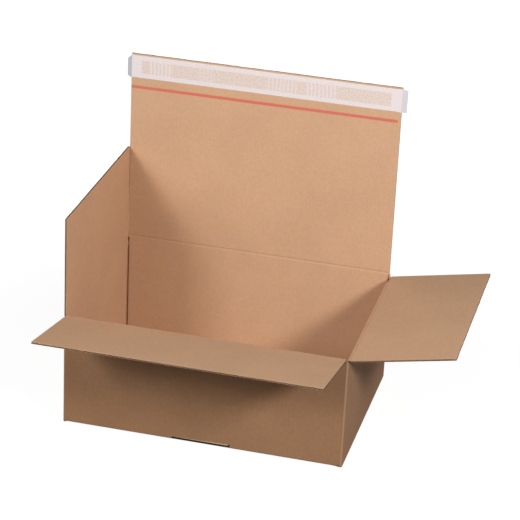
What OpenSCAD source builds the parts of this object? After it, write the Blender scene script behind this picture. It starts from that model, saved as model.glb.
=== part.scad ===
// Shipping box of corrugated board with a crash-lock bottom and a self-sealing lid.
// X runs along the front wall, Y from front to back, Z up. The origin is on the floor,
// under the middle of the box. The front and right flaps are folded out, and the lid
// and the left flap stand upright.

/* [Box] */
// Inside length, along the front wall
inner_l = 450; // [340:1:600]
// Inside width, from front to back
inner_w = 320; // [260:1:420]
// Inside height, from the bottom to the closed side flaps
inner_h = 178; // [120:1:300]
// Outer radius of the upright folds
corner_r = 3.5; // [3.1:0.1:5]

/* [Board] */
// Thickness of the corrugated board
board_t = 3; // [2.4:0.1:3.6]
// Distance from one flute to the next
flute_pitch = 6.4; // [5.5:0.1:7.5]
// Thickness of the flat paper on each side of the board
facing_t = 0.4; // [0.25:0.05:0.5]
// Thickness of the fluted paper between them
medium_t = 0.28; // [0.2:0.02:0.36]
// Space between two layers of board that lie on each other
layer_gap = 0.4; // [0.3:0.05:0.8]

/* [Creases] */
// Slope of the board towards a pressed crease, from its middle plane
crease_angle = 25; // [20:1:28]
// Space across a crease between a wall and its flap
crease_gap = 0.3; // [0.2:0.05:0.5]
// Length of pressed board beside a crease, in which no flute is open
pressed_l = 6; // [5:0.5:10]
// Depth of the scored lines across the bottom panels
score_d = 0.8; // [0.4:0.1:1]
// Width of the scored lines across the bottom panels
score_w = 3; // [2:0.5:4]

/* [Flaps] */
// Length of the two side flaps, from crease to free edge
side_flap_l = 168; // [100:1:200]
// Length of the front flap, from crease to free edge
front_flap_l = 165; // [100:1:200]
// Length of the lid, from crease to free edge
lid_l = 324; // [240:1:330]
// Space between the side edge of a flap and the inside of the next wall
flap_side_gap = 0.8; // [0.6:0.1:4]
// Radius of the free corners of the flaps
flap_corner_r = 4; // [1:0.5:12]

/* [Resting angles] */
// Front flap, away from upright
front_open = 79; // [0:1:120]
// Right flap, away from upright
right_open = 79; // [0:1:120]
// Left flap, away from upright
left_open = 0; // [0:1:120]
// Lid, away from upright
lid_open = 0; // [0:1:120]

/* [Bottom] */
// Length of the two lower panels, inwards from the side walls
minor_l = 140; // [100:1:150]
// Width of the glued corner beyond the scored line, across it
glue_w = 42; // [30:1:50]
// Bare edge round the glue
glue_edge = 6; // [3:1:12]
// Reach of the two upper panels past the middle of the box
lock_lap = 30; // [20:1:40]
// Reach of each hook past the middle of the box, along the front wall
hook_l = 26; // [16:1:40]
// Depth of each hook, from front to back
hook_d = 20; // [10:1:30]
// Run of the sloped end of each hook, along the front wall
hook_run = 14; // [6:1:20]
// Gap of the seam between the two upper panels
seam_gap = 1.6; // [1:0.1:4]
// Space between the ends of the bottom panels and the next walls
bottom_end_gap = 2.5; // [1.5:0.5:6]
// Narrowing of the upper panels towards their free edges
upper_taper = 12; // [4:1:24]
// Narrowing of the lower panels, on the side that isn't glued
minor_taper = 24; // [8:1:40]
// Clipped corner of the lower panels, on the same side
minor_clip = 24; // [8:1:40]
// Length of the slot in each long bottom crease
slot_l = 95; // [40:1:140]
// Height of the slot above the upper panels
slot_rise = 1.2; // [0.5:0.1:3]
// Depth of the slot past the inside of the wall
slot_inset = 0.6; // [0.2:0.1:3]

/* [Glued side seam] */
// Width of the glue tab outside the left wall
tab_w = 38; // [25:1:60]
// Slope of the ends of the glue tab, over its width
tab_taper = 9; // [4:1:20]
// Distance of the glue tab from the crease of the left flap
tab_drop = 9.6; // [6:0.1:20]
// Gap between the cut end of the left wall and the back wall
joint_gap = 4.5; // [2:0.5:8]

/* [Closure] */
// Distance of the release paper from the free edge of the lid
release_edge = 3.5; // [1:0.5:10]
// Width of the release paper
release_w = 37.5; // [28:0.5:50]
// Width of the adhesive under it
adhesive_w = 23; // [12:0.5:28]
// Distance of the adhesive from the side edges of the lid
adhesive_end = 17; // [5:1:40]
// Thickness of the adhesive
adhesive_t = 0.2; // [0.1:0.05:0.3]
// Thickness of the release paper
release_t = 0.2; // [0.1:0.05:0.3]
// Distance of the tear strip from the free edge of the lid
tear_edge = 55; // [45:1:90]
// Width of the tear strip
tear_w = 5; // [3:0.5:8]
// Thickness of the tear strip
tear_t = 0.2; // [0.1:0.05:0.3]
// Distance of the tear strip's right end from the side edge of the lid
tear_end = 4; // [0:0.5:10]

/* [Hidden] */
$fn = 48;

kraft_outer = [0.62, 0.46, 0.33];
kraft_inner = [0.80, 0.63, 0.49];
adhesive_colour = [0.86, 0.80, 0.70];
release_colour = [0.93, 0.90, 0.88];
tear_colour = [0.80, 0.40, 0.36];

// Overlap of solids that are joined, and clearance round the corners between the flaps
overlap = 0.1;
post_gap = 0.4;
outer_l = inner_l + 2 * board_t;
outer_w = inner_w + 2 * board_t;

// Heights: lower bottom panels, upper bottom panels, floor, and the four creases
upper_panel_z = board_t + layer_gap;
floor_z = upper_panel_z + board_t;
side_z = floor_z + inner_h + board_t / 2;
front_z = side_z + board_t + layer_gap;
lid_z = front_z + board_t + layer_gap + adhesive_t + release_t;

// Creases
crease_h = board_t / 2 / tan(crease_angle);
tip_z = crease_gap / 2;
tip_y = tip_z * tan(crease_angle);

// Flaps, seen from outside their own wall
long_flap_w = inner_l - 2 * flap_side_gap;
side_flap_w = inner_w - 2 * flap_side_gap;

// Top of the left wall, which stops short of the back wall at the seam
left_top_w = side_flap_w - joint_gap + flap_side_gap;
left_top_x = (joint_gap - flap_side_gap) / 2;

// Depth below its crease that the left flap needs over the fold of the glue tab, folded right back
fold_back = 120;
fold_reach = (board_t * 1.5 - board_t / 2 * cos(fold_back)) / sin(fold_back);
fold_drop = board_t / 2 * sin(fold_back) - fold_reach * cos(fold_back) + post_gap;

// Flute channels: the openings between a facing and the fluted paper, with 45 degree sides
facing_gap = board_t - 2 * facing_t;
channel_h = facing_gap - medium_t;
channel_base = flute_pitch / 2 + facing_gap - medium_t * sqrt(2);
channel_tip = channel_base - 2 * channel_h;

// Corners of the walls that stand up between the flaps, clear of both
post = board_t + flap_side_gap - post_gap;

// The square tube of the four walls, seen from above
module rounded_plan(l, w, r) {
    square([l - 2 * r, w], center = true);
    square([l, w - 2 * r], center = true);
    for (x = [-1, 1], y = [-1, 1])
        translate([x * (l / 2 - r), y * (w / 2 - r)])
            circle(r);
}

// Back wall's end, folded round the corner to start the glue tab
module tab_fold_plan() {
    left = -outer_l / 2 - board_t;
    translate([left + corner_r, inner_w / 2])
        square([corner_r, board_t]);
    translate([left, inner_w / 2 - board_t])
        square([board_t, 2 * board_t - corner_r]);
    intersection() {
        translate([left + corner_r, outer_w / 2 - corner_r])
            circle(corner_r);
        translate([left, inner_w / 2 - board_t])
            difference() {
                square(2 * board_t + corner_r);
                translate([board_t, 0])
                    square([2 * corner_r + board_t, board_t]);
            }
    }
}

module wall_plan() {
    difference() {
        rounded_plan(outer_l, outer_w, corner_r);
        square([inner_l, inner_w], center = true);
        translate([-outer_l / 2 - overlap, inner_w / 2 - joint_gap])
            square([board_t + overlap, joint_gap + board_t + overlap]);
    }
    translate([-outer_l / 2 - board_t + corner_r, inner_w / 2])
        square([2 * board_t, board_t]);
    tab_fold_plan();
}

// Space above the fold of the glue tab, as far as the corner that stands up behind the flap
module fold_relief() {
    low_y = inner_w / 2 - board_t - overlap;
    translate([-outer_l / 2 - board_t - overlap, low_y, side_z - fold_drop])
        cube([board_t + overlap, outer_w / 2 - post - low_y, fold_drop]);
}

module post_plan() {
    intersection() {
        wall_plan();
        for (x = [-1, 1], y = [-1, 1])
            translate([x * outer_l / 2, y * outer_w / 2])
                square(2 * post, center = true);
    }
}

// Turns a shape drawn for the front wall to another wall: front, right, back, left
module on_wall(side, distance) {
    rotate(side * 90)
        translate([0, -distance, 0])
            children();
}

module on_front() { on_wall(0, outer_w / 2 - board_t / 2) children(); }
module on_right() { on_wall(1, outer_l / 2 - board_t / 2) children(); }
module on_back() { on_wall(2, outer_w / 2 - board_t / 2) children(); }
module on_left() { on_wall(3, outer_l / 2 - board_t / 2) children(); }

// A section drawn across the board, drawn out along the wall
module along_wall(length) {
    rotate([90, 0, 90])
        linear_extrude(length, center = true)
            children();
}

// Upper edge of a wall, from the corner height up to its pressed crease
module wall_top(length, crease_z) {
    translate([0, 0, crease_z])
        along_wall(length)
            polygon([
                [-board_t / 2, side_z - crease_z - crease_h - overlap],
                [board_t / 2, side_z - crease_z - crease_h - overlap],
                [board_t / 2, -crease_h],
                [tip_y, -tip_z],
                [-tip_y, -tip_z],
                [-board_t / 2, -crease_h]
            ]);
}

// Lower edge of a wall, turned inwards into a bottom panel whose top is at panel_top
module bottom_fold(length, panel_top) {
    translate([0, board_t / 2, panel_top])
        along_wall(length)
            intersection() {
                circle(board_t);
                translate([-board_t, -board_t])
                    square(board_t);
            }
}

// Upper bottom panel on the front wall, hooked into its twin on the back wall
module upper_panel_plan() {
    end_x = inner_l / 2 - bottom_end_gap;
    edge = seam_gap / 2;
    hook_x = hook_l - hook_run;
    polygon([
        [-end_x, -inner_w / 2],
        [end_x, -inner_w / 2],
        [end_x - upper_taper / 2, -lock_lap - edge],
        [-hook_x, -lock_lap - edge],
        [-hook_l, -hook_d / 2 - edge],
        [hook_l, hook_d / 2 - edge],
        [hook_x, lock_lap - edge],
        [-end_x + upper_taper, lock_lap - edge]
    ]);
}

// Lower bottom panel on the left wall, with the corner that is glued to the front panel
module lower_panel_plan() {
    near_x = -inner_l / 2;
    far_x = near_x + minor_l;
    end_y = inner_w / 2 - bottom_end_gap;
    glue_run = glue_w * sqrt(2);
    polygon([
        [near_x, -end_y],
        [near_x + glue_run, -end_y],
        [far_x, -inner_w / 2 + minor_l - glue_run],
        [far_x, end_y - minor_taper - minor_clip],
        [far_x - minor_clip, end_y - minor_taper],
        [near_x, end_y]
    ]);
}

// Glue between the lower panel's corner and the upper panel
module glue_plan() {
    low_y = -inner_w / 2 + glue_edge;
    far_x = -inner_l / 2 + minor_l - glue_edge;
    from_score = glue_edge * sqrt(2);
    from_cut = (glue_w - glue_edge) * sqrt(2);
    polygon([
        [low_y + (inner_w - inner_l) / 2 + from_score, low_y],
        [low_y + (inner_w - inner_l) / 2 + from_cut, low_y],
        [far_x, far_x + (inner_l - inner_w) / 2 - from_cut],
        [far_x, far_x + (inner_l - inner_w) / 2 - from_score]
    ]);
}

// Scored line at 45 degrees across the lower panel, on its underside
module diagonal_score() {
    translate([-inner_l / 2, -inner_w / 2, 0])
        rotate(45)
            translate([minor_l / sqrt(2), 0, 0])
                along_wall(minor_l * sqrt(2) + score_w)
                    polygon([[-score_w / 2, -overlap], [score_w / 2, -overlap], [0, score_d]]);
}

// Half of the crash-lock bottom: front upper panel and left lower panel, glued together
module half_bottom() {
    translate([0, 0, upper_panel_z])
        linear_extrude(board_t)
            upper_panel_plan();
    difference() {
        linear_extrude(board_t)
            lower_panel_plan();
        diagonal_score();
    }
    translate([0, 0, board_t - overlap])
        linear_extrude(layer_gap + 2 * overlap)
            glue_plan();
    on_front()
        bottom_fold(inner_l - 2 * bottom_end_gap, floor_z);
    on_left() {
        bottom_fold(inner_w - 2 * bottom_end_gap, board_t);
        translate([0, 0, (floor_z + board_t) / 2])
            cube([inner_w - 2 * bottom_end_gap, board_t, floor_z - board_t + 2 * overlap],
                 center = true);
    }
}

// Slot through the crease of a long upper panel
module crease_slot() {
    translate([-slot_l / 2, -board_t / 2 - overlap, upper_panel_z - overlap])
        cube([slot_l, board_t + slot_inset + overlap, board_t + slot_rise + overlap]);
}

// Glue tab, the end of the back wall, flat on the outside of the left wall
module glue_tab() {
    high = side_z - tab_drop;
    low = floor_z;
    translate([-outer_l / 2 - board_t, 0, 0])
        rotate([90, 0, 90])
            linear_extrude(board_t)
                polygon([
                    [inner_w / 2, low],
                    [inner_w / 2, high],
                    [outer_w / 2 - tab_w, high - tab_taper],
                    [outer_w / 2 - tab_w, low + tab_taper]
                ]);
}

module carton_body() color(kraft_outer) {
    post_top = side_z - post_gap;
    difference() {
        union() {
            translate([0, 0, floor_z])
                linear_extrude(side_z - crease_h - floor_z)
                    wall_plan();
            translate([0, 0, board_t])
                linear_extrude(post_top - board_t)
                    post_plan();
            glue_tab();
            on_front() wall_top(long_flap_w, front_z);
            on_back() wall_top(long_flap_w, lid_z);
            on_right() wall_top(side_flap_w, side_z);
            on_left() translate([left_top_x, 0, 0]) wall_top(left_top_w, side_z);
            half_bottom();
            rotate(180) half_bottom();
        }
        on_front() crease_slot();
        on_back() crease_slot();
        fold_relief();
    }
}

// Corrugated board seen on its cut edge, across the flutes
module fluted_section(width) {
    count = floor((width - flute_pitch / 2) / flute_pitch);
    inner_face = board_t / 2 - facing_t;
    difference() {
        square([width, board_t], center = true);
        for (i = [0 : 2 * count - 2]) {
            face = i % 2 == 0 ? 1 : -1;
            translate([(i - count + 1) * flute_pitch / 2, 0])
                polygon([
                    [-channel_base / 2, face * inner_face],
                    [channel_base / 2, face * inner_face],
                    [channel_tip / 2, face * (inner_face - channel_h)],
                    [-channel_tip / 2, face * (inner_face - channel_h)]
                ]);
        }
    }
}

// Outline of a flap, with its crease on the X axis and rounded free corners
module flap_outline(width, length) {
    translate([-width / 2, 0])
        square([width, length - flap_corner_r]);
    translate([-width / 2 + flap_corner_r, 0])
        square([width - 2 * flap_corner_r, length]);
    for (side = [-1, 1])
        translate([side * (width / 2 - flap_corner_r), length - flap_corner_r])
            circle(flap_corner_r);
}

// Flap standing upright on its crease: pressed edge, then open flutes up to the free edge
module flap_panel(width, length) {
    along_wall(width)
        polygon([
            [-tip_y, tip_z],
            [tip_y, tip_z],
            [board_t / 2, crease_h],
            [board_t / 2, pressed_l],
            [-board_t / 2, pressed_l],
            [-board_t / 2, crease_h]
        ]);
    intersection() {
        translate([0, 0, pressed_l])
            linear_extrude(length - pressed_l)
                fluted_section(width);
        rotate([90, 0, 0])
            linear_extrude(board_t + 2 * overlap, center = true)
                flap_outline(width, length);
    }
}

module open_flap(crease_z, angle) {
    translate([0, 0, crease_z])
        rotate([angle, 0, 0])
            children();
}

module front_flap() color(kraft_inner)
    on_front()
        open_flap(front_z, front_open)
            flap_panel(long_flap_w, front_flap_l);

module right_flap() color(kraft_inner)
    on_right()
        open_flap(side_z, right_open)
            flap_panel(side_flap_w, side_flap_l);

module left_flap() color(kraft_inner)
    on_left()
        open_flap(side_z, left_open)
            flap_panel(side_flap_w, side_flap_l);

module lid_flap() color(kraft_inner)
    on_back()
        open_flap(lid_z, lid_open)
            flap_panel(long_flap_w, lid_l);

// Flat strip on the inside of the lid: from x_start to x_end, seen from behind the box
module lid_strip(x_start, x_end, from_edge, width, height, thickness) {
    on_back()
        open_flap(lid_z, lid_open)
            translate([x_start, board_t / 2 + height, lid_l - from_edge - width])
                cube([x_end - x_start, thickness, width]);
}

module adhesive_strip() color(adhesive_colour) {
    reach = long_flap_w / 2 - adhesive_end;
    from_edge = release_edge + (release_w - adhesive_w) / 2;
    lid_strip(-reach, reach, from_edge, adhesive_w, 0, adhesive_t);
}

module release_liner() color(release_colour) {
    reach = long_flap_w / 2;
    lid_strip(-reach, reach, release_edge, release_w, adhesive_t, release_t);
}

module tear_strip() color(tear_colour)
    lid_strip(-long_flap_w / 2 + tear_end, long_flap_w / 2, tear_edge, tear_w, 0, tear_t);

carton_body();
front_flap();
right_flap();
left_flap();
lid_flap();
adhesive_strip();
release_liner();
tear_strip();
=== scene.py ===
"""Looks of the auto-bottom shipping box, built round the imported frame."""

import math

import bpy
import numpy as np
from mathutils import Matrix, Vector
from mathutils.geometry import tessellate_polygon


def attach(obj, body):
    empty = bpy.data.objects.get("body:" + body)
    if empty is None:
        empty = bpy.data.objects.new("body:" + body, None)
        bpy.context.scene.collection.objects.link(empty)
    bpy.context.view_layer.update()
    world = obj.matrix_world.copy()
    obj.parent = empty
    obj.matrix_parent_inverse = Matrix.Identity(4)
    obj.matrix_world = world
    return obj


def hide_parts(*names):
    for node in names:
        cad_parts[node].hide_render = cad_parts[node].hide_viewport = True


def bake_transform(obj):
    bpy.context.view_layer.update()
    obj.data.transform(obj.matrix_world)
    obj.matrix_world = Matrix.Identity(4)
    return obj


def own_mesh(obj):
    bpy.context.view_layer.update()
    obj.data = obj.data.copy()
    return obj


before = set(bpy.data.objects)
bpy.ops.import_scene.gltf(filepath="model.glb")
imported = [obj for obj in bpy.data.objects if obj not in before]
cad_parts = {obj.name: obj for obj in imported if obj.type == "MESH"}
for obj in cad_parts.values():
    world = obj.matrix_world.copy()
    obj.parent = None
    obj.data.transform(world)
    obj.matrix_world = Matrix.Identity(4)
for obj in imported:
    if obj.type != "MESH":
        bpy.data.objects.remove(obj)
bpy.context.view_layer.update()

MM = 0.001

# Sizes of the box in millimetres, as in the part's source
BOARD = 3.0
HALF = BOARD / 2
OUT_X, OUT_Y = 228.0, 163.0
IN_X, IN_Y = OUT_X - BOARD, OUT_Y - BOARD
UPPER_Z, FLOOR_Z = 3.4, 6.4
SIDE_Z, FRONT_Z, LID_Z = 185.9, 189.3, 193.1
FRONT_L, SIDE_L, LID_L = 165.0, 168.0, 324.0
LONG_HALF, SIDE_HALF = 224.2, 159.2
CORNER_R = 3.5
PITCH = 6.4
CREASE_H = 3.217
OPEN = math.radians(79)
SLOT_HALF, SLOT_TOP = 47.5, 8.2
TAB_W, TAB_TAPER, TAB_DROP = 38, 9.0, 9.6
BOTTOM_END_GAP = 2.5
LOCK_LAP, SEAM_GAP, UPPER_TAPER = 30, 1.6, 12
HOOK_END, HOOK_RUN, HOOK_D = 26, 14, 20
MINOR_L, GLUE_W, MINOR_TAPER = 140, 42, 24

# Sizes that only the looks have, in millimetres
# Half width of the lid and end of the left flap, which all but touch
LID_HALF, LEFT_END = 224.98, 159.96
# End of the left wall at the seam, depth of the groove there, and half width of the back wall
SEAM_END, SEAM_DEPTH = 155.5, 2.4
BACK_END = 222.6
# Dent in the right flap's crease: length, depth and spread
NOTCH_RUN, NOTCH_SINK, NOTCH_SPREAD = 34.0, 2.2, 3.0
# Top of the fold over the glue tab, and corner radius of the flaps
FOLD_TOP = 181.1
FLAP_R = 0.9
# Thickness of the papers and of the wave, and height of the washboard on the papers
LINER, MEDIUM = 0.42, 0.40
RIPPLE = 0.014
# Last stretch of a slot, where its top is higher
SLOT_CELL, SLOT_STEP = 2.6, 1.8

# Turn of the flutes' wave for each metre along the sheet
FLUTE_TURN = 2000 * math.pi / PITCH

# Order of the walls, and where the middle of each lies along the unfolded sheet
FRONT, RIGHT, BACK, LEFT = range(4)
SHEET_U = (0.0, OUT_X + OUT_Y, 2 * (OUT_X + OUT_Y), -OUT_X - OUT_Y)

# Faces of the board by material; the last kind is painted dark as the shade inside the flutes and
# slots
OUTER, INNER, EDGE, CORE, SHADED = range(5)


def smoothstep(t):
    return t * t * (3 - 2 * t)


def wobble(x, step, size, seed):
    """Smooth irregular offsets along x, with a new random value at every step."""
    rng = np.random.default_rng(seed)
    k = (x - x.min()) / step
    values = rng.uniform(-size, size, int(k.max()) + 3)
    i = k.astype(int)
    t = smoothstep(k - i)
    return values[i] * (1 - t) + values[i + 1] * t


def on_wall(side, x, y, z):
    """Point drawn for the front wall, turned to its own wall.

    y counts inwards from the middle of the board."""
    d = (OUT_Y if side in (FRONT, BACK) else OUT_X) - HALF
    x, y, z = np.broadcast_arrays(x, y, z)
    turned = {
        FRONT: (x, y - d, z),
        RIGHT: (d - y, x, z),
        BACK: (-x, d - y, z),
        LEFT: (y - d, -x, z),
    }[side]
    return np.stack(turned, -1).astype(float)


def on_flap(side, u, s, w, crease_z, angle):
    """Point of a flap: u along the crease, s away from it and w towards the inside.

    The flap is turned out by angle."""
    c, k = np.cos(angle), np.sin(angle)
    return on_wall(side, u, w * c - s * k, crease_z + w * k + s * c)


def ripple(u):
    """Height of the washboard that the flutes press into the papers, in millimetres."""
    return RIPPLE * np.cos(2 * math.pi * u / PITCH)


class Mesh:
    """Collects closed bodies of board, with a place on the unfolded sheet for every vertex."""

    def __init__(self):
        self.points, self.sheet, self.faces, self.kinds = [], [], [], []
        self.count = 0

    def add(self, points, sheet):
        base = self.count
        self.points.append(np.asarray(points, float).reshape(-1, 3))
        self.sheet.append(np.asarray(sheet, float).reshape(-1, 3))
        self.count += len(self.points[-1])
        return base

    def quads(self, a, b, c, d, kind):
        block = np.stack([a.ravel(), b.ravel(), c.ravel(), d.ravel()], -1)
        self.faces.extend(block.tolist())
        self.kinds.extend([kind] * len(block))

    def slab(self, outer, inner, outer_sheet, inner_sheet, kinds=(OUTER, INNER, EDGE)):
        """Closed body between two grids of points, outer below and inner above."""
        n, m = outer.shape[:2]
        index = np.arange(n * m).reshape(n, m)
        o = index + self.add(outer, outer_sheet)
        i = index + self.add(inner, inner_sheet)
        self.quads(o[:-1, :-1], o[1:, :-1], o[1:, 1:], o[:-1, 1:], kinds[0])
        self.quads(i[:-1, :-1], i[:-1, 1:], i[1:, 1:], i[1:, :-1], kinds[1])
        self.quads(o[:-1, 0], i[:-1, 0], i[1:, 0], o[1:, 0], kinds[2])
        self.quads(o[:-1, -1], o[1:, -1], i[1:, -1], i[:-1, -1], kinds[2])
        self.quads(o[0, :-1], o[0, 1:], i[0, 1:], i[0, :-1], kinds[2])
        self.quads(o[-1, :-1], i[-1, :-1], i[-1, 1:], o[-1, 1:], kinds[2])

    def prism(self, outline, low, high, sheet_of):
        """Flat panel with the outline's points in order, counter-clockwise seen from above."""
        n = len(outline)
        corners = [Vector((x, y, 0)) for x, y in outline]
        for z, kind in ((low, OUTER), (high, INNER)):
            points = [(x, y, z) for x, y in outline]
            base = self.add(points, [sheet_of(x, y, z) for x, y, z in points])
            for tri in tessellate_polygon([corners]):
                a, b, c = (corners[k] for k in tri)
                up = (b - a).cross(c - a).z > 0
                order = tri if up == (kind == INNER) else tri[::-1]
                self.faces.append([base + k for k in order])
                self.kinds.append(kind)
        low_base, high_base = self.count - 2 * n, self.count - n
        for k in range(n):
            j = (k + 1) % n
            self.faces.append([low_base + k, low_base + j, high_base + j, high_base + k])
            self.kinds.append(EDGE)

    def build(self, name, materials):
        points = np.concatenate(self.points) * MM
        sheet = np.concatenate(self.sheet) * MM
        data = bpy.data.meshes.new(name)
        data.from_pydata(points.tolist(), [], self.faces)
        for material in materials:
            data.materials.append(material)
        data.polygons.foreach_set("material_index", np.array(self.kinds, np.int32))
        data.polygons.foreach_set("use_smooth", np.ones(len(self.faces), bool))
        place = data.attributes.new("sheet", "FLOAT_VECTOR", "POINT")
        place.data.foreach_set("vector", sheet.astype(np.float32).ravel())
        data.update()
        data.set_sharp_from_angle(angle=math.radians(32))
        made = bpy.data.objects.new(name, data)
        bpy.context.scene.collection.objects.link(made)
        return made


# Materials

class Nodes:
    """Short names for the shader nodes of one material."""

    def __init__(self, name):
        self.material = bpy.data.materials.new(name)
        self.material.use_nodes = True
        self.tree = self.material.node_tree
        self.tree.nodes.clear()
        self.out = self.tree.nodes.new("ShaderNodeOutputMaterial")
        self.shader = self.tree.nodes.new("ShaderNodeBsdfPrincipled")
        self.link(self.shader.outputs["BSDF"], self.out.inputs["Surface"])

    def link(self, a, b):
        self.tree.links.new(a, b)

    def put(self, value, socket):
        if isinstance(value, (int, float, tuple, list)):
            socket.default_value = value
        else:
            self.link(value, socket)

    def place(self):
        """Place on the unfolded sheet, in metres: along the walls, up the sheet, through it."""
        node = self.tree.nodes.new("ShaderNodeAttribute")
        node.attribute_name = "sheet"
        return node.outputs["Vector"]

    def split(self, vector):
        node = self.tree.nodes.new("ShaderNodeSeparateXYZ")
        self.link(vector, node.inputs[0])
        return node.outputs

    def stretch(self, vector, scale, offset=(0, 0, 0)):
        node = self.tree.nodes.new("ShaderNodeMapping")
        self.link(vector, node.inputs["Vector"])
        node.inputs["Scale"].default_value = scale
        node.inputs["Location"].default_value = offset
        return node.outputs["Vector"]

    def noise(self, vector, scale, detail=3.0, rough=0.5):
        node = self.tree.nodes.new("ShaderNodeTexNoise")
        self.link(vector, node.inputs["Vector"])
        node.inputs["Scale"].default_value = scale
        node.inputs["Detail"].default_value = detail
        node.inputs["Roughness"].default_value = rough
        return node.outputs["Fac"]

    def math(self, kind, a, b=0.0):
        node = self.tree.nodes.new("ShaderNodeMath")
        node.operation = kind
        self.put(a, node.inputs[0])
        self.put(b, node.inputs[1])
        return node.outputs[0]

    def band(self, value, low, high, out_low=0.0, out_high=1.0):
        """Smooth step from out_low, where value is low, to out_high, where it is high."""
        node = self.tree.nodes.new("ShaderNodeMapRange")
        node.interpolation_type = "SMOOTHSTEP"
        self.put(value, node.inputs["Value"])
        for name, number in (
            ("From Min", low),
            ("From Max", high),
            ("To Min", out_low),
            ("To Max", out_high),
        ):
            node.inputs[name].default_value = number
        return node.outputs["Result"]

    def mix(self, share, a, b):
        node = self.tree.nodes.new("ShaderNodeMix")
        node.data_type = "RGBA"
        self.put(share, node.inputs["Factor"])
        self.put(a, node.inputs["A"])
        self.put(b, node.inputs["B"])
        return node.outputs["Result"]

    def scaled(self, colour, amount):
        node = self.tree.nodes.new("ShaderNodeVectorMath")
        node.operation = "SCALE"
        self.put(colour, node.inputs[0])
        self.put(amount, node.inputs["Scale"])
        return node.outputs["Vector"]

    def bump(self, height, strength, distance):
        node = self.tree.nodes.new("ShaderNodeBump")
        node.inputs["Strength"].default_value = strength
        node.inputs["Distance"].default_value = distance
        self.link(height, node.inputs["Height"])
        self.link(node.outputs["Normal"], self.shader.inputs["Normal"])

    def finish(self, colour, roughness, specular=0.35):
        self.put(colour, self.shader.inputs["Base Color"])
        self.put(roughness, self.shader.inputs["Roughness"])
        self.shader.inputs["Specular IOR Level"].default_value = specular
        return self.material


def srgb(r, g, b):
    """Linear colour of an 8-bit screen colour."""
    linear = [((v / 255 + 0.055) / 1.055) ** 2.4 if v > 10 else v / 3294.6 for v in (r, g, b)]
    return (*linear, 1.0)


# Colours of the board, of the paper strips and of the studio
INSIDE, INSIDE_FLECK = srgb(204, 163, 129), srgb(138, 96, 62)
OUTSIDE, OUTSIDE_FLECK = srgb(151, 112, 81), srgb(98, 68, 44)
# Colour of the painted highlight along the rounded upright folds
FOLD_HIGHLIGHT = srgb(206, 164, 128)
# Cut edge: colour of the papers, and painted shade for the open flutes between them
CUT_PAPER, CUT_SHADE = srgb(176, 134, 98), srgb(52, 38, 26)
WAVE_PAPER, WAVE_FLECK = srgb(196, 168, 140), srgb(110, 84, 60)
# Kraft inside the flutes, painted dark as shade
FLUTE_SHADE, FLUTE_SHADE_FLECK = srgb(44, 33, 25), srgb(32, 24, 18)
RELEASE, PRINTED_THROUGH = srgb(229, 220, 219), srgb(213, 189, 172)
# Ends of the release paper past the lid, painted greyer as shade, the left end darker than the
# right
RELEASE_RIGHT_SHADE, RELEASE_LEFT_SHADE = srgb(209, 207, 212), srgb(182, 183, 187)
ADHESIVE, TEAR_FILM = srgb(214, 196, 176), srgb(207, 111, 89)
FLOOR_TONE, FLOOR_BOUNCE = (0.25, 0.25, 0.25, 1.0), (0.20, 0.20, 0.20, 1.0)

# Swing of each part of the paper's tone round 1; the last is painted shade of the washboard along
# the flutes
CLOUD, MOTTLE, FIBRE, WASHBOARD_SHADE = 0.021, 0.044, 0.12, -0.005


def paper_tone(n, place, strength=1.0):
    """Tone of kraft paper round 1, from clouds, mottling and fibres, with painted shade of the
    washboard that the flutes press into it.
    """
    cloud = n.band(n.noise(place, 11.0, 3.0), 0.3, 0.7, -CLOUD, CLOUD)
    mottle = n.band(n.noise(place, 260.0, 4.0, 0.7), 0.25, 0.75, -MOTTLE, MOTTLE)
    fibre = n.band(n.noise(n.stretch(place, (2600, 800, 2600)), 1.0, 3.0, 0.75),
                   0.2, 0.8, -FIBRE, FIBRE)
    along = n.split(place)[0]
    # Painted shade of the washboard: a faint darker stripe along each flute
    flute = n.math("MULTIPLY", n.math("COSINE", n.math("MULTIPLY", along, FLUTE_TURN)),
                   WASHBOARD_SHADE)
    total = n.math("ADD", n.math("ADD", cloud, mottle), n.math("ADD", fibre, flute))
    return n.math("ADD", n.math("MULTIPLY", total, strength), 1.0)


def rim_shade(n, place):
    """Share of painted shade in the lid's rim beside the left flap, where the two touch and little
    light gets in.
    """
    along, up, _ = n.split(place)
    edge = (SHEET_U[BACK] + LID_HALF) * MM
    near = n.band(along, edge - 0.0014, edge - 0.0005)
    height = n.math("MULTIPLY", n.band(up, 0.235, 0.30), n.band(up, 0.352, 0.357, 1.0, 0.0))
    return n.math("MULTIPLY", n.math("MULTIPLY", near, height), 0.8)


def fold_highlight(n, place):
    """Share of painted highlight on the upright folds, where the rounded paper catches light."""
    along = n.split(place)[0]
    nearest = 1.0
    for fold in (-OUT_X, OUT_X, OUT_X + 2 * OUT_Y, 3 * OUT_X + 2 * OUT_Y):
        away = n.math("ABSOLUTE", n.math("SUBTRACT", along, fold * MM))
        nearest = n.math("MINIMUM", nearest, away)
    return n.math("MULTIPLY", n.band(nearest, 0.0004, 0.0022, 1.0, 0.0), 0.42)


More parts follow.
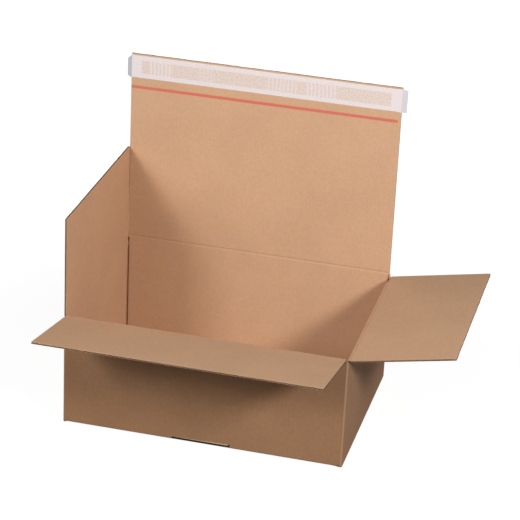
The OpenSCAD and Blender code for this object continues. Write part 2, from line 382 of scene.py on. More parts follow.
def kraft(name, colour, fleck, strength=1.0, roughness=0.84, rim=False, folds=False):
    """Kraft paper in one colour, with warm and cool fibres, dark and pale flecks and a fine tooth.

    rim adds painted shade on the lid beside the left flap, folds adds a painted highlight on the
    upright folds."""
    n = Nodes(name)
    place = n.place()
    tone = paper_tone(n, place, strength)
    red, green, blue = colour[:3]
    warm = (red * 1.01, green * 0.97, blue * 0.84, 1.0)
    cool = (red * 0.99, green * 1.03, blue * 1.16, 1.0)
    hue = n.noise(n.stretch(place, (900, 900, 900), (0.4, 5.1, 2.2)), 1.0, 3.0, 0.75)
    hue = n.band(hue, 0.25, 0.75)
    base = n.scaled(n.mix(hue, warm, cool), tone)
    spots = n.band(n.noise(n.stretch(place, (1, 1, 1), (3.1, 1.7, 0.4)), 800.0, 1.0), 0.745, 0.80)
    base = n.mix(n.math("MULTIPLY", spots, 0.5), base, fleck)
    pale = n.band(n.noise(n.stretch(place, (1, 1, 1), (7.7, 2.9, 1.4)), 900.0, 1.0), 0.74, 0.80)
    base = n.mix(n.math("MULTIPLY", pale, 0.35), base, n.scaled(colour[:3], 1.22))
    # Painted shade on the lid's rim beside the left flap
    if rim:
        base = n.mix(rim_shade(n, place), base, fleck)
    # Painted highlight along the upright folds
    if folds:
        base = n.mix(fold_highlight(n, place), base, FOLD_HIGHLIGHT)
    tooth = n.math("ADD", n.noise(n.stretch(place, (2600, 900, 2600)), 1.0, 2.0, 0.6),
                   n.noise(place, 380.0, 2.0))
    n.bump(tooth, 0.22, 0.00012)
    rough = n.band(n.noise(place, 150.0, 2.0), 0.3, 0.7, roughness - 0.05, roughness + 0.05)
    return n.finish(base, rough, 0.3)


def cut_edge(name, paper, dark):
    """Cut edge of the board: both papers, the wave between them and painted shade in the open
    flutes.
    """
    n = Nodes(name)
    place = n.place()
    along, _, depth = n.split(place)
    drift = n.math("MULTIPLY", n.math("SUBTRACT", n.noise(place, 34.0, 2.0), 0.5), 0.0016)
    turn = n.math("MULTIPLY", n.math("ADD", along, drift), FLUTE_TURN)
    wave = n.math("MULTIPLY", n.math("COSINE", turn), 0.00095)
    off = n.math("ABSOLUTE", n.math("SUBTRACT", depth, wave))
    medium = n.band(off, 0.00012, 0.00036, 1.0, 0.0)
    liner = n.band(n.math("ABSOLUTE", depth), 0.00100, 0.00118)
    solid = n.math("MAXIMUM", medium, liner)
    tone = n.band(n.noise(place, 900.0, 3.0, 0.7), 0.25, 0.75, 0.82, 1.12)
    n.bump(solid, 0.5, 0.0004)
    return n.finish(n.mix(solid, dark, n.scaled(paper[:3], tone)), 0.9, 0.2)


inside_paper = kraft("board_inside", INSIDE, INSIDE_FLECK, 1.2, rim=True)
outside_paper = kraft("board_outside", OUTSIDE, OUTSIDE_FLECK, 1.8, folds=True)
edge_paper = cut_edge("board_edge", CUT_PAPER, CUT_SHADE)
core_paper = kraft("board_core", WAVE_PAPER, WAVE_FLECK, 1.5, 0.92)
# Kraft painted dark as the shade inside the flutes and slots
shade_paper = kraft("board_shade", FLUTE_SHADE, FLUTE_SHADE_FLECK, 1.0, 0.95)
BOARD_MATERIALS = [outside_paper, inside_paper, edge_paper, core_paper, shade_paper]


# Board in the flaps

# Places within a flap's rounded corner, counted from its side
CORNER_STEPS = np.array([0, 0.05, 0.15, 0.3, 0.5, 0.75])
# Last rows of a paper, counted from the free edge, and how far the cut presses them together
EDGE_ROWS = np.array([3.2, 1.2, 0.4, 0.0])
EDGE_PRESS = (0.03, 0.10, 0.16)
# Ragged cut: how far it stays inside the real length, then step and size of two wobbles
EDGE_INSET = 0.36
FINE_RAG, COARSE_RAG, COARSE_SEED = (1.3, 0.12), (11.0, 0.22), 7
# Rows of a paper and samples of each flute, in the papers and in the wave
PAPER_ROWS, PAPER_SAMPLES, WAVE_SAMPLES = 9, 8, 12


def u_samples(half_low, half_high, per_pitch):
    """Places across a flap, close together at its rounded corners."""
    count = int((half_high - half_low) / PITCH * per_pitch)
    inner = np.linspace(half_low + FLAP_R, half_high - FLAP_R, count)
    return np.concatenate([half_low + CORNER_STEPS, inner, half_high - CORNER_STEPS[::-1]])


def free_edge(u, low, high, length, seed):
    """Distance of the free edge from the crease, with rounded corners and a ragged cut."""
    gap = np.minimum(u - low, high - u)
    round_off = FLAP_R - np.sqrt(np.maximum(0, FLAP_R**2 - (FLAP_R - gap) ** 2))
    inset = np.where(gap < FLAP_R, round_off, 0)
    ragged = length - inset - EDGE_INSET + wobble(u, *FINE_RAG, seed)
    return ragged + wobble(u, *COARSE_RAG, COARSE_SEED)


def flap_board(name, side, low, high, length, crease_z, angle, seed):
    """Corrugated flap: two papers and the wave between them, open at the cut edges."""
    mesh = Mesh()
    u0 = SHEET_U[side]

    def paper(bottom, top, kinds, seed_edge):
        """One paper of the board, between two heights that follow u."""
        u = u_samples(low, high, PAPER_SAMPLES)
        end = free_edge(u, low, high, length, seed_edge)
        body = np.linspace(CREASE_H, length - 12, PAPER_ROWS)
        s = np.concatenate([np.repeat(body[None], len(u), 0),
                            end[:, None] - EDGE_ROWS[None] * np.ones((len(u), 1))], 1)
        uu = np.repeat(u[:, None], s.shape[1], 1)
        press = np.zeros(s.shape[1])
        press[-len(EDGE_PRESS):] = EDGE_PRESS
        press = press[None] * (1 + wobble(u, 2.1, 0.7, seed_edge + 5))[:, None]
        low_w, high_w = bottom(uu), top(uu)
        sign = np.sign(low_w + high_w)
        low_w, high_w = low_w - sign * press, high_w - sign * press
        outer = on_flap(side, uu, s, low_w, crease_z, angle)
        inner = on_flap(side, uu, s, high_w, crease_z, angle)
        sheet = [np.stack([u0 + uu, crease_z + s, w + 0 * s], -1) for w in (low_w, high_w)]
        mesh.slab(outer, inner, sheet[0], sheet[1], kinds)

    # Faces of the papers that look into the flutes get painted shade
    paper(lambda x: HALF - LINER + 0 * x, lambda x: HALF + ripple(u0 + x),
          (SHADED, INNER, INNER), seed)
    paper(lambda x: -HALF - ripple(u0 + x), lambda x: -HALF + LINER + 0 * x,
          (OUTER, SHADED, OUTER), seed + 1)
    wave_h = HALF - LINER - MEDIUM / 2 + 0.02
    u = u_samples(low, high, WAVE_SAMPLES)

    def wave(x):
        return wave_h * np.cos(2 * math.pi * (u0 + x) / PITCH)

    end = free_edge(u, low, high, length, seed + 2) - 0.05
    s = np.stack([np.full(len(u), CREASE_H), np.full(len(u), length - 20), end - 3, end], 1)
    uu = np.repeat(u[:, None], 4, 1)
    crush = np.array([0, 0, 0, 1])[None] * (0.14 + wobble(u, 3.2, 0.12, seed + 9))[:, None]
    faces = [on_flap(side, uu, s, (wave(uu) + d) * (1 - crush), crease_z, angle)
             for d in (-MEDIUM / 2, MEDIUM / 2)]
    sheet = np.stack([u0 + uu, crease_z + s, 0 * s], -1)
    # The wave is painted dark as shade, all but its cut ends
    mesh.slab(faces[0], faces[1], sheet, sheet, (SHADED, SHADED, CORE))
    return mesh.build(name, BOARD_MATERIALS)


# Pressed crease: how far the band reaches each way, its step along and its rows across
REACH, BAND_STEP, BAND_ROWS = 3.9, 1.6, 25
# How far the band stands over the papers, and how its two ends tuck under them
BAND_LIFT, TUCK, TUCK_SHARE = 0.035, 0.07, 0.08
# Width of the groove above and below the crease
SPREAD_ABOVE, SPREAD_BELOW = 1.5, 2.8
# Board pressed thinner on the outside, above the crease, so that a flap turned right out clears
THIN, THIN_AT, THIN_SPREAD = 0.5, 2.2, 1.4


def crease_band(name, side, low, high, crease_z, angle, groove, seed, notch):
    """Pressed board across a crease, with the two points between which it bends.
"""
    mesh = Mesh()
    u = np.linspace(low, high, int((high - low) / BAND_STEP))
    t = np.linspace(0, 1, BAND_ROWS)
    share = smoothstep(t)
    start = np.array([0.0, -REACH])
    end = np.array([-REACH * math.sin(angle), REACH * math.cos(angle)])
    chord = end - start
    span = float(np.hypot(*chord))
    chord = chord / span
    tuck = TUCK * (1 - smoothstep(np.clip(np.minimum(t, 1 - t) / TUCK_SHARE, 0, 1)))
    cos, sin = np.cos(share * angle), np.sin(share * angle)

    def rows(sign, depth):
        """Place and height of each row on one face, found by halving."""
        low_s, high_s = np.full(len(t), -3 * REACH), np.full(len(t), 3 * REACH)
        for _ in range(50):
            s = (low_s + high_s) / 2
            spread = np.where(s > 0, SPREAD_ABOVE, SPREAD_BELOW)
            thin = THIN * np.exp(-(((s - THIN_AT) / THIN_SPREAD) ** 2)) if sign < 0 else 0
            w = sign * (HALF + BAND_LIFT - tuck - thin - depth * np.exp(-((s / spread) ** 2)))
            across, up = w * cos - s * sin, w * sin + s * cos
            at = (across - start[0]) * chord[0] + (up - start[1]) * chord[1]
            low_s, high_s = np.where(at < t * span, s, low_s), np.where(at < t * span, high_s, s)
        return s, w

    grids, sheets = [], []
    for sign, depth in ((-1, groove[0]), (1, groove[1])):
        s, w = rows(sign, depth)
        uu, ss = np.meshgrid(u, s, indexing="ij")
        rough = wobble(u, 3.0, 0.05, seed + sign)[:, None] * np.exp(-((s / 2.0) ** 2))[None]
        ww = np.repeat(w[None], len(u), 0) + sign * rough
        if notch and sign > 0:
            sink = smoothstep(np.clip(1 - (high - uu) / NOTCH_RUN, 0, 1))
            ww = ww - NOTCH_SINK * (sink * np.exp(-((ss / NOTCH_SPREAD) ** 2)))
        grids.append(on_flap(side, uu, ss, ww, crease_z, (share * angle)[None]))
        sheets.append(np.stack([SHEET_U[side] + uu, crease_z + ss, ww], -1))
    mesh.slab(grids[0], grids[1], sheets[0], sheets[1])
    made = mesh.build(name, BOARD_MATERIALS)
    points = [on_flap(side, 0.0, d, 0.0, crease_z, a) * MM
              for d, a in ((-REACH, 0.0), (REACH, angle))]
    return made, points[0].tolist(), points[1].tolist()


FLAPS = (
    # node, body, wall, from, to, length, crease height, angle, groove outside and inside, seed
    ("front_flap", "front_flap", FRONT, -LONG_HALF, LONG_HALF, FRONT_L, FRONT_Z, OPEN,
     (0.40, 0.10), 11),
    ("right_flap", "right_flap", RIGHT, -SIDE_HALF, SIDE_HALF, SIDE_L, SIDE_Z, OPEN,
     (0.40, 0.10), 23),
    ("left_flap", "left_flap", LEFT, -LEFT_END, SIDE_HALF, SIDE_L, SIDE_Z, 0.0,
     (0.35, 0.45), 37),
    ("lid_flap", "lid", BACK, -LID_HALF, LID_HALF, LID_L, LID_Z, 0.0,
     (0.35, 0.65), 41),
)

for node, body, side, low, high, length, crease_z, angle, groove, seed in FLAPS:
    board = flap_board(node + "_board", side, low, high, length, crease_z, angle, seed)
    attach(board, body)
    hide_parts(node)
    band, start, end = crease_band(node + "_crease", side, low, high, crease_z, angle, groove,
                                   seed + 3, node == "right_flap")
    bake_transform(band)


# Walls and bottom

carton = Mesh()


# Half width of the part of a side wall, and of a long wall, that folds into its bottom panel
SIDE_FOOT, LONG_FOOT = 157.5, 222.5


def wall_part(side, x0, x1, z0, z1):
    """Stretch of a wall between two places along it and two heights."""
    n = max(2, int((x1 - x0) / PITCH * PAPER_SAMPLES))
    u = np.linspace(x0, x1, n)
    z = np.linspace(z0, z1, max(2, int((z1 - z0) / 24) + 2))
    uu, zz = np.meshgrid(u, z, indexing="ij")
    wave = ripple(SHEET_U[side] + uu)
    faces = []
    for w in (-HALF - wave, HALF + wave):
        faces.append((on_wall(side, uu, w, zz), np.stack([SHEET_U[side] + uu, zz, w], -1)))
    carton.slab(faces[0][0], faces[1][0], faces[0][1], faces[1][1])


# Radius of an upright fold on its inside
INSIDE_R = 0.5


def corner(turn, corner_x, corner_y, u_corner, before, after):
    """Rounded upright fold, drawn for the front right corner and turned by quarter turns.

    before and after list points along the two walls: distance from the corner, height of the top
    and depth of the groove pressed into the inside. u_corner is the fold's place on the sheet."""
    angles = np.linspace(-90, 0, 11)
    outer = [(-d, 0.0) for d, top, groove in before]
    inner = [(-d, BOARD - groove) for d, top, groove in before]
    first, last = before[-1], after[0]
    r = INSIDE_R
    for angle in angles:
        c, k, t = math.cos(math.radians(angle)), math.sin(math.radians(angle)), 1 + angle / 90
        outer.append((-CORNER_R + CORNER_R * c, CORNER_R + CORNER_R * k))
        inner.append((-BOARD - r + r * c + last[2] * t, BOARD + r + r * k - first[2] * (1 - t)))
    outer += [(0.0, d) for d, top, groove in after]
    inner += [(-BOARD + groove, d + 0.3) for d, top, groove in after]
    tops = [p[1] for p in before]
    tops += list(np.linspace(first[1], last[1], len(angles)))
    tops += [p[1] for p in after]
    u = u_corner + np.linspace(-before[0][0], after[-1][0], len(outer))
    z = BOARD + (np.array(tops)[:, None] - BOARD) * np.linspace(0, 1, 9)[None]
    c, k = (1, 0, -1, 0)[turn], (0, 1, 0, -1)[turn]
    grids = []
    for path, w in ((outer, -HALF), (inner, HALF)):
        xy = np.array([(corner_x + c * x - k * y, corner_y + k * x + c * y) for x, y in path])
        points = np.concatenate([np.repeat(xy[:, None], z.shape[1], 1), z[:, :, None]], 2)
        place = np.stack([np.repeat(u[:, None], z.shape[1], 1), z, np.full(z.shape, w)], -1)
        grids.append((points, place))
    carton.slab(grids[0][0], grids[1][0], grids[0][1], grids[1][1], (OUTER, INNER, CORE))


def bottom_fold(side, x0, x1, panel_top):
    """Foot of a wall, rounded inwards into its bottom panel."""
    u = np.linspace(x0, x1, max(2, int((x1 - x0) / PITCH * 4)))
    turn = np.radians(np.linspace(90, 0, 10))
    grids = []
    for radius, w in ((BOARD, -HALF), (0.02, HALF)):
        uu, aa = np.meshgrid(u, turn, indexing="ij")
        pts = on_wall(side, uu, HALF - radius * np.cos(aa), panel_top - radius * np.sin(aa))
        place = np.stack([SHEET_U[side] + uu, panel_top - BOARD * aa, np.full(uu.shape, w)], -1)
        grids.append((pts, place))
    carton.slab(grids[0][0], grids[1][0], grids[0][1], grids[1][1])


# Lip over a slot: where it starts, its height at both ends and how far each of its rows stands out
LIP_START, LIP_LOW, LIP_HIGH = 6, 0.3, 1.7
LIP_ROWS, LIP_OUT = np.array([0, 0.35, 0.75, 1.0]), np.array([0.10, 0.32, 0.28, 0.0])


def slot_edge(side):
    """Cut edge of the wall over its slot, pressed out a little, and dark sheets in the slot that
    paint its shade.
    """
    n = 60
    u = np.linspace(-SLOT_HALF + LIP_START, SLOT_HALF - SLOT_CELL, n)
    rise = np.linspace(LIP_LOW, LIP_HIGH, n) + wobble(u, 6.0, 0.15, 97 + side)
    z = SLOT_TOP + rise[:, None] * LIP_ROWS[None]
    out = LIP_OUT[None] * np.minimum(1, rise)[:, None]
    uu = np.repeat(u[:, None], 4, 1)
    place = np.stack([SHEET_U[side] + uu, z, 0 * z], -1)
    carton.slab(on_wall(side, uu, -HALF - out, z), on_wall(side, uu, 0 * uu - HALF + 0.3, z),
                place, place, (CORE, CORE, CORE))
    # Dark sheets in the slot: painted shade of the deep slit
    for x0, x1, y, z0, z1 in (
        (-SLOT_HALF, SLOT_HALF, -HALF + 0.45, UPPER_Z + 2.2, FLOOR_Z + 0.1),
        (-SLOT_HALF, SLOT_HALF, HALF - 0.6, UPPER_Z, SLOT_TOP + 3.0),
    ):
        x, z = np.meshgrid([x0, 0.5 * (x0 + x1), x1], [z0, z1], indexing="ij")
        place = np.stack([SHEET_U[side] + x, z, 0 * z], -1)
        carton.slab(on_wall(side, x, y, z), on_wall(side, x, HALF + 0 * x, z), place, place,
                    (SHADED, SHADED, SHADED))


for side, crease_z, end in ((FRONT, FRONT_Z, LONG_HALF), (BACK, LID_Z, BACK_END)):
    top = crease_z - CREASE_H
    wall_part(side, -end, -SLOT_HALF, FLOOR_Z, top)
    wall_part(side, -SLOT_HALF, SLOT_HALF - SLOT_CELL, SLOT_TOP, top)
    wall_part(side, SLOT_HALF - SLOT_CELL, SLOT_HALF, SLOT_TOP + SLOT_STEP, top)
    wall_part(side, SLOT_HALF, end, FLOOR_Z, top)
    slot_edge(side)
    for x0, x1 in ((-LONG_FOOT, -SLOT_HALF), (SLOT_HALF, LONG_FOOT)):
        bottom_fold(side, x0, x1, FLOOR_Z)
wall_part(RIGHT, -SIDE_HALF, SIDE_HALF, BOARD, SIDE_Z - CREASE_H)
wall_part(LEFT, -SEAM_END, SIDE_HALF, BOARD, SIDE_Z - CREASE_H)
for side in (RIGHT, LEFT):
    bottom_fold(side, -SIDE_FOOT, SIDE_FOOT, BOARD)

# Tops of the corners beside the creases, which rise towards the higher one
SIDE_TOP, FRONT_TOP = SIDE_Z - 0.6, FRONT_Z - 0.8
BACK_LOW, BACK_TOP = LID_Z - CREASE_H, LID_Z - 0.8
# Distances from a corner: both ends of the strip beside a fold, where the top rises on the seam's
# side, the end of the back wall's face, and how far in from there the groove is at full depth
SHORT, LONG = 3.6, 3.8
RISE_START, RISE_END = 6.3, 6.0
BACK_REACH = OUT_X - BACK_END
STEEP = 0.4

side_end = ((LONG, SIDE_TOP, 0), (SHORT, SIDE_TOP, 0))
front_end = ((LONG, FRONT_TOP, 0), (SHORT, FRONT_TOP, 0))
right_back_end = (
    (SHORT, BACK_TOP, SEAM_DEPTH),
    (BACK_REACH - STEEP, BACK_LOW, SEAM_DEPTH),
    (BACK_REACH, BACK_LOW, 0),
)
left_back_end = (
    (BACK_REACH + BOARD, BACK_LOW, 0),
    (BACK_REACH + BOARD - STEEP, BACK_LOW, SEAM_DEPTH),
    (RISE_START, BACK_LOW, SEAM_DEPTH),
    (RISE_END, BACK_TOP, SEAM_DEPTH),
    (SHORT, BACK_TOP - 2.2, SEAM_DEPTH),
)
tab_end = ((SHORT, FOLD_TOP - 0.9, 0), (LONG, FOLD_TOP - 0.9, 0))
corner(0, OUT_X, -OUT_Y, SHEET_U[FRONT] + OUT_X, front_end, side_end[::-1])
corner(1, OUT_X, OUT_Y, SHEET_U[RIGHT] + OUT_Y, side_end, right_back_end)
corner(2, -OUT_X - BOARD, OUT_Y, SHEET_U[BACK] + OUT_X, left_back_end, tab_end)
corner(3, -OUT_X, -OUT_Y, SHEET_U[LEFT] + OUT_Y, side_end, front_end[::-1])

# Glue tab, outside the left wall and pressed down at its free edge
TAB_TOP, TAB_END = SIDE_Z - TAB_DROP, OUT_Y - TAB_W
TAB_PRESS, TAB_PRESS_RUN = 0.35, 2.0
tab_y = np.linspace(SIDE_HALF, TAB_END, 44)
share = (SIDE_HALF - tab_y) / (SIDE_HALF - TAB_END)
tab_z = np.linspace(0, 1, 9)
tab_low, tab_high = FLOOR_Z + share * TAB_TAPER, TAB_TOP - share * TAB_TAPER
zz = tab_low[:, None] + (tab_high - tab_low)[:, None] * tab_z[None]
yy = np.repeat(tab_y[:, None], 9, 1)
uu = SHEET_U[BACK] + OUT_X + OUT_Y - yy
press = TAB_PRESS * smoothstep(np.clip(1 - (tab_y - TAB_END) / TAB_PRESS_RUN, 0, 1))[:, None]
tab_faces = []
for x, w in ((-OUT_X - BOARD + press - ripple(uu), -HALF), (-OUT_X + 0 * yy, HALF)):
    tab_faces.append((np.stack([x, yy, zz], -1), np.stack([uu, zz, np.full(uu.shape, w)], -1)))
carton.slab(tab_faces[0][0], tab_faces[1][0], tab_faces[0][1], tab_faces[1][1])

# Bottom panels: half of the crash-lock bottom, and the same half turned round
END_X, END_Y = IN_X - BOTTOM_END_GAP, IN_Y - BOTTOM_END_GAP
NEAR_LAP, FAR_LAP = -LOCK_LAP - SEAM_GAP / 2, LOCK_LAP - SEAM_GAP / 2
HOOK_START = HOOK_END - HOOK_RUN
# How far the slot cuts into the upper panel
CUT_IN = 0.1
upper = [
    (-END_X, -IN_Y),
    (-SLOT_HALF, -IN_Y),
    (-SLOT_HALF, -IN_Y + CUT_IN),
    (SLOT_HALF, -IN_Y + CUT_IN),
    (SLOT_HALF, -IN_Y),
    (END_X, -IN_Y),
    (END_X - UPPER_TAPER / 2, NEAR_LAP),
    (-HOOK_START, NEAR_LAP),
    (-HOOK_END, NEAR_LAP + HOOK_D),
    (HOOK_END, FAR_LAP - HOOK_D),
    (HOOK_START, FAR_LAP),
    (-END_X + UPPER_TAPER, FAR_LAP),
]
GLUE_RUN = GLUE_W * math.sqrt(2)
FAR_X = -IN_X + MINOR_L
lower = [
    (-IN_X, BOARD - END_Y),
    (-IN_X + GLUE_RUN, BOARD - END_Y),
    (FAR_X, -IN_Y + MINOR_L - GLUE_RUN),
    (FAR_X, END_Y - 2 * MINOR_TAPER),
    (FAR_X - MINOR_TAPER, END_Y - MINOR_TAPER),
    (-IN_X, END_Y),
]
for sign, front_side, left_side in ((1, FRONT, LEFT), (-1, BACK, RIGHT)):
    carton.prism([(sign * x, sign * y) for x, y in upper], UPPER_Z, FLOOR_Z,
                 lambda x, y, z: (SHEET_U[front_side] + sign * x, FLOOR_Z - IN_Y - sign * y,
                                  z - FLOOR_Z + HALF))
    carton.prism([(sign * x, sign * y) for x, y in lower], 0.0, BOARD,
                 lambda x, y, z: (SHEET_U[left_side] - sign * y, BOARD - IN_X - sign * x,
                                  z - HALF))

carton_board = carton.build("carton_board", BOARD_MATERIALS)
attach(carton_board, "carton")
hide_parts("carton_body")


# Closure on the lid

def strip_material(name, colour, roughness, specular):
    """Film or glue in one colour, slightly uneven along its length."""
    n = Nodes(name)
    place = n.tree.nodes.new("ShaderNodeTexCoord").outputs["Object"]
    tone = n.band(n.noise(n.stretch(place, (300, 300, 1800)), 1.0, 3.0), 0.25, 0.75, 0.93, 1.07)
    return n.finish(n.scaled(colour[:3], tone), roughness, specular)


# Parts of the adhesive that are split in stripes, in metres from the left end, with their contrast
STRIPED = ((0.028, 0.069, 0.85), (0.111, 0.136, 0.40), (0.225, 0.276, 0.60), (0.291, 0.342, 0.80))
# Where the adhesive lies under the paper, in metres up the sheet and out from the lid's middle
ADHESIVE_EDGE = LID_Z * MM + 0.324 - 0.0035
ADHESIVE_LOW, ADHESIVE_HIGH = ADHESIVE_EDGE - 0.0300, ADHESIVE_EDGE - 0.0075
ADHESIVE_ENDS = (0.2060, 0.2085)


def release_material():
    """Silicone paper, with the pattern of the adhesive under it showing through, and painted shade
    on its ends past the lid.
    """
    n = Nodes("release_paper")
    place = n.place()
    along, up, _ = n.split(place)
    warp = n.math("SUBTRACT", n.noise(n.stretch(place, (25, 60, 1)), 1.0, 2.0), 0.5)
    warp = n.math("MULTIPLY", warp, 0.0030)
    from_left = n.math("SUBTRACT", (SHEET_U[BACK] + LONG_HALF) * MM, along)
    x = n.math("ADD", from_left, warp)
    gaps = n.band(n.math("COSINE", n.math("MULTIPLY", x, FLUTE_TURN)), -0.5, 0.5)
    striped = 0.0
    for first, last, strength in STRIPED:
        zone = n.math("MULTIPLY", n.band(x, first - 0.001, first + 0.001),
                      n.band(x, last - 0.001, last + 0.001, strength, 0.0))
        striped = n.math("MAXIMUM", striped, zone)
    shown = n.math("SUBTRACT", 1.0, n.math("MULTIPLY", striped, gaps))
    soft = 0.0008
    inside = n.math("MULTIPLY", n.band(up, ADHESIVE_LOW - soft, ADHESIVE_LOW + soft),
                    n.band(up, ADHESIVE_HIGH - soft, ADHESIVE_HIGH + soft, 1.0, 0.0))
    middle = SHEET_U[BACK] * MM
    ends = n.math("ABSOLUTE", n.math("SUBTRACT", along, middle))
    inside = n.math("MULTIPLY", inside, n.band(ends, *ADHESIVE_ENDS, 1.0, 0.0))
    speck = n.band(n.noise(n.stretch(place, (420, 420, 1)), 1.0, 3.0, 0.75), 0.38, 0.62, 0.15, 1.0)
    amount = n.math("MULTIPLY", n.math("MULTIPLY", inside, shown), speck)
    tone = n.band(n.noise(place, 430.0, 4.0, 0.75), 0.28, 0.72, 0.90, 1.035)
    # Painted shade on the ends past the lid, darker at the left end
    side = n.band(along, middle - 0.01, middle + 0.01)
    shade = n.mix(side, RELEASE_RIGHT_SHADE, RELEASE_LEFT_SHADE)
    paper = n.mix(n.band(ends, 0.2243, 0.2249), RELEASE, shade)
    return n.finish(n.mix(amount, n.scaled(paper, tone), PRINTED_THROUGH), 0.5, 0.4)


release_paper = release_material()
adhesive = strip_material("adhesive", ADHESIVE, 0.45, 0.5)
tear_film = strip_material("tear_film", TEAR_FILM, 0.42, 0.4)
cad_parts["adhesive_strip"].data.materials.clear()
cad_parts["adhesive_strip"].data.materials.append(adhesive)


def lid_strip(name, u0, u1, low, high, base, thick, material, wave=0.0, seed=0):
    """Thin strip on the inside of the lid, low and high counted from the crease."""
    mesh = Mesh()
    u = np.linspace(u0, u1, 420)
    s = np.linspace(low, high, 7)
    uu, ss = np.meshgrid(u, s, indexing="ij")
    edge = np.zeros(uu.shape)
    edge[:, 0] = wobble(u, 9.0, 0.12, seed)
    edge[:, -1] = wobble(u, 11.0, 0.12, seed + 1)
    lift = wave * (1 + wobble(u, 16.0, 1.0, seed + 2))[:, None] \
        * np.array([1, 0.4, 0, 0, 0, 0.4, 1.0])[None]
    grids = []
    for w in (base + 0 * lift, base + thick + lift):
        pts = on_flap(BACK, uu, ss + edge, w, LID_Z, 0.0)
        grids.append((pts, np.stack([SHEET_U[BACK] + uu, LID_Z + ss, w], -1)))
    mesh.slab(grids[0][0], grids[1][0], grids[0][1], grids[1][1], (0, 0, 0))
    return mesh.build(name, [material])


# Edges of the strips, counted from the lid's free edge, and the thickness of each layer
RELEASE_FAR, RELEASE_NEAR = 41, 2.7
TEAR_FAR, TEAR_NEAR, TEAR_SHORT = 60, 55, 4
ADHESIVE_T, RELEASE_T, TEAR_T = 0.2, 0.2, 0.12

paper = lid_strip("release_paper_strip", -LONG_HALF, LONG_HALF, LID_L - RELEASE_FAR,
                  LID_L - RELEASE_NEAR, HALF + ADHESIVE_T, RELEASE_T, release_paper, 0.03, 71)
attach(paper, "lid")
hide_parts("release_liner")
film = lid_strip("tear_film_strip", -LONG_HALF + TEAR_SHORT, LONG_HALF, LID_L - TEAR_FAR,
                 LID_L - TEAR_NEAR, HALF + 0.01, TEAR_T, tear_film, 0.0, 77)
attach(film, "lid")
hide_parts("tear_strip")

# Ends of the release paper that stand out past the lid, over the strip's own ends
END_LAP, END_BEND = 3.9, 0.3
END_FAR, END_NEAR = 41.6, 2.4
ENDS = (
    # name, side along the crease, length past the lid, how far the lower and upper edge run in
    ("release_end_left", 1, 7.0, 3.2, 7.0),
    ("release_end_right", -1, 9.3, 0.6, 1.4),
)
for name, sign, out, rise, fall in ENDS:
    mesh = Mesh()
    inner_u, outer_u = LONG_HALF - END_LAP, LONG_HALF + out
    u = np.linspace(inner_u, outer_u, 15)
    past = np.clip((u - LONG_HALF) / out, 0, 1)
    s = np.linspace(0, 1, 9)
    low, high = LID_L - END_FAR + rise * past**2, LID_L - END_NEAR - fall * past
    ss = low[:, None] + (high - low)[:, None] * s[None]
    uu = np.repeat(u[:, None], 9, 1)
    bend = (END_BEND * past**2)[:, None] * (0.6 + 0.8 * s[None])
    grids = []
    for w in (HALF + 0.21 + bend * 0.6, HALF + 0.42 + bend * 0.6):
        pts = on_flap(BACK, sign * uu, ss, w, LID_Z, 0.0)
        grids.append((pts, np.stack([SHEET_U[BACK] + sign * uu, LID_Z + ss, w], -1)))
    if sign < 0:
        grids = [(p[::-1], q[::-1]) for p, q in grids]
    mesh.slab(grids[0][0], grids[1][0], grids[0][1], grids[1][1], (0, 0, 0))
    end = mesh.build(name, [release_paper])
    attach(end, "lid")
    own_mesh(end)


# Studio

# Camera's white on the floor near the box, and over which distance it turns to full white
FLOOR_GLOW, GLOW_NEAR, GLOW_FAR = 0.88, 0.4, 0.9
# Half width and height of the floor, in metres
FLOOR_HALF, FLOOR_LEVEL = 30, -0.0006


def floor_material():
    """Pale floor that the camera sees as white, apart from the box's soft shadow close to it."""
    n = Nodes("studio_floor")
    tree = n.tree
    position = tree.nodes.new("ShaderNodeTexCoord")
    away = tree.nodes.new("ShaderNodeVectorMath")
    away.operation = "LENGTH"
    n.link(position.outputs["Object"], away.inputs[0])
    ray = tree.nodes.new("ShaderNodeLightPath")
    seen = n.math("MAXIMUM", ray.outputs["Is Camera Ray"], ray.outputs["Is Glossy Ray"])
    seen = n.math("MAXIMUM", seen, ray.outputs["Is Transmission Ray"])
    glow = tree.nodes.new("ShaderNodeEmission")
    level = n.band(away.outputs["Value"], GLOW_NEAR, GLOW_FAR, FLOOR_GLOW, 1.0)
    n.link(n.math("MULTIPLY", level, seen), glow.inputs["Strength"])
    both = tree.nodes.new("ShaderNodeAddShader")
    n.link(n.shader.outputs["BSDF"], both.inputs[0])
    n.link(glow.outputs["Emission"], both.inputs[1])
    n.link(both.outputs["Shader"], n.out.inputs["Surface"])
    return n.finish(n.mix(seen, FLOOR_BOUNCE, FLOOR_TONE), 0.9, 0.1)


floor_data = bpy.data.meshes.new("floor")
floor_data.from_pydata([(x * FLOOR_HALF, y * FLOOR_HALF, FLOOR_LEVEL)
                        for x, y in ((-1, -1), (1, -1), (1, 1), (-1, 1))], [], [(0, 1, 2, 3)])
floor = bpy.data.objects.new("floor", floor_data)
floor_data.materials.append(floor_material())
bpy.context.scene.collection.objects.link(floor)


def softbox(name, place, aim, width, height, power):
    """Rectangular lamp at place, turned towards aim."""
    light = bpy.data.lights.new(name, "AREA")
    light.shape = "RECTANGLE"
    light.size, light.size_y, light.energy = width, height, power
    made = bpy.data.objects.new(name, light)
    bpy.context.scene.collection.objects.link(made)
    made.location = place
    made.rotation_mode = "QUATERNION"
    made.rotation_quaternion = (Vector(aim) - Vector(place)).to_track_quat("-Z", "Y")


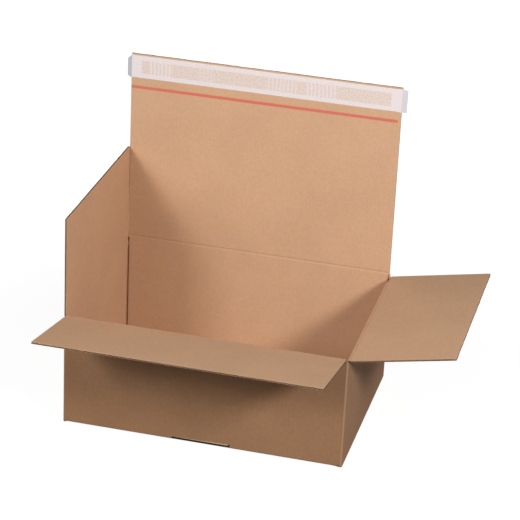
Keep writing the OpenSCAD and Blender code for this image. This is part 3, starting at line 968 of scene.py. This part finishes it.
AIM = Vector((0, 0, 0.2))
LIGHT_AWAY, LIGHT_HEIGHT = 2.2, 0.35
LIGHTS = (
    # name, azimuth, elevation, width in metres, power in watts
    ("light_left", -28.5, 30, 0.42, 18.0),
    ("light_left_wide", -30, 24, 1.4, 11.3),
    ("light_right", 49, 30, 0.45, 33.0),
)
for name, azimuth, elevation, width, power in LIGHTS:
    turn, rise = math.radians(azimuth), math.radians(elevation)
    flat = math.cos(rise)
    towards = Vector((flat * math.sin(turn), -flat * math.cos(turn), math.sin(rise)))
    softbox(name, AIM + LIGHT_AWAY * towards, AIM, width, LIGHT_HEIGHT, power)

# World: white to the camera and in reflections, and a faint even light for the rest
WORLD_LIGHT = 0.04
world = bpy.data.worlds.new("studio")
bpy.context.scene.world = world
world.use_nodes = True
tree = world.node_tree
background = tree.nodes["Background"]
ray = tree.nodes.new("ShaderNodeLightPath")
seen = tree.nodes.new("ShaderNodeMath")
seen.operation = "MAXIMUM"
tree.links.new(ray.outputs["Is Camera Ray"], seen.inputs[0])
tree.links.new(ray.outputs["Is Glossy Ray"], seen.inputs[1])
level = tree.nodes.new("ShaderNodeMapRange")
level.inputs["To Min"].default_value = WORLD_LIGHT
level.inputs["To Max"].default_value = 1.0
tree.links.new(seen.outputs[0], level.inputs["Value"])
tree.links.new(level.outputs["Result"], background.inputs["Strength"])
background.inputs["Color"].default_value = (1, 1, 1, 1)

scene = bpy.context.scene
scene.view_settings.view_transform = "Standard"

# Camera: fitted to the corners of the box in the photograph
RIGHT_AXIS = Vector((0.967007, 0.250993, 0.043580))
DOWN_AXIS = Vector((0.143811, -0.396647, -0.906636))
FORWARD = Vector((-0.210273, 0.882991, -0.419656))
CAMERA_AT = (0.79121, -3.13996, 1.75038)
FOCAL_PIXELS, PICTURE_PIXELS, SENSOR = 2242.1, 520, 36.0
camera_data = bpy.data.cameras.new("camera")
camera_data.sensor_width = SENSOR
camera_data.lens = FOCAL_PIXELS / PICTURE_PIXELS * SENSOR
camera_data.clip_start, camera_data.clip_end = 0.1, 100
camera = bpy.data.objects.new("camera", camera_data)
scene.collection.objects.link(camera)
axes = Matrix((RIGHT_AXIS, -DOWN_AXIS, -FORWARD)).transposed()
camera.matrix_world = Matrix.Translation(CAMERA_AT) @ axes.to_4x4()
scene.camera = camera
